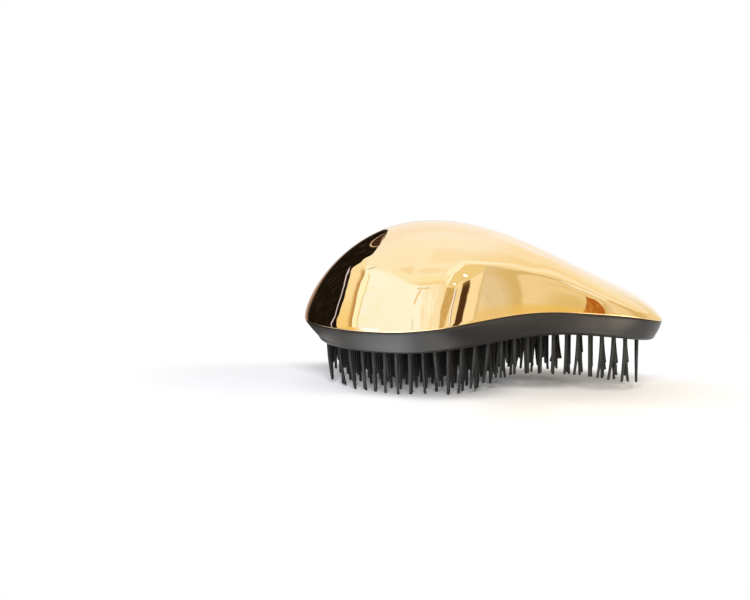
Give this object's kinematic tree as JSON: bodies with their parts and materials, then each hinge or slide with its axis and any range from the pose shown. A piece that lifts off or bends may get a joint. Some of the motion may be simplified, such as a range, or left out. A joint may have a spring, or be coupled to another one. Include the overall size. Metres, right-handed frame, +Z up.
{
  "type": "detangling brush",
  "caption": "Palm-held detangling brush: hollow mirror-finish shell on a drafted, wavy rim frame that holds a flexible pad of tapered bristles in mixed lengths.",
  "frame": {"origin": "centre of the bounding box, on the plane that the tips of the long head bristles rest on", "axes": "+X from the wide head to the narrow tail, +Z up from the bristle tips to the shell, the brush is symmetric about the XZ plane"},
  "size_m": [0.14, 0.0756, 0.0649],
  "materials": {
    "shell_gold": "vacuum-metallised mirror gold on moulded plastic",
    "rim_black": "satin black moulded plastic",
    "plate_black": "plain black moulded plastic",
    "pad_black": "matte black elastomer",
    "bristle_black": "satin black flexible plastic",
    "screw_steel": "zinc-plated steel"
  },
  "bodies": {
    "root": {"top_shell": "shell_gold", "rim_frame": "rim_black", "backing_plate": "plate_black", "bristle_pad": "pad_black", "long_bristles": "bristle_black", "medium_bristles": "bristle_black", "short_bristles": "bristle_black", "plate_screws": "screw_steel"}
  },
  "joints": []
}
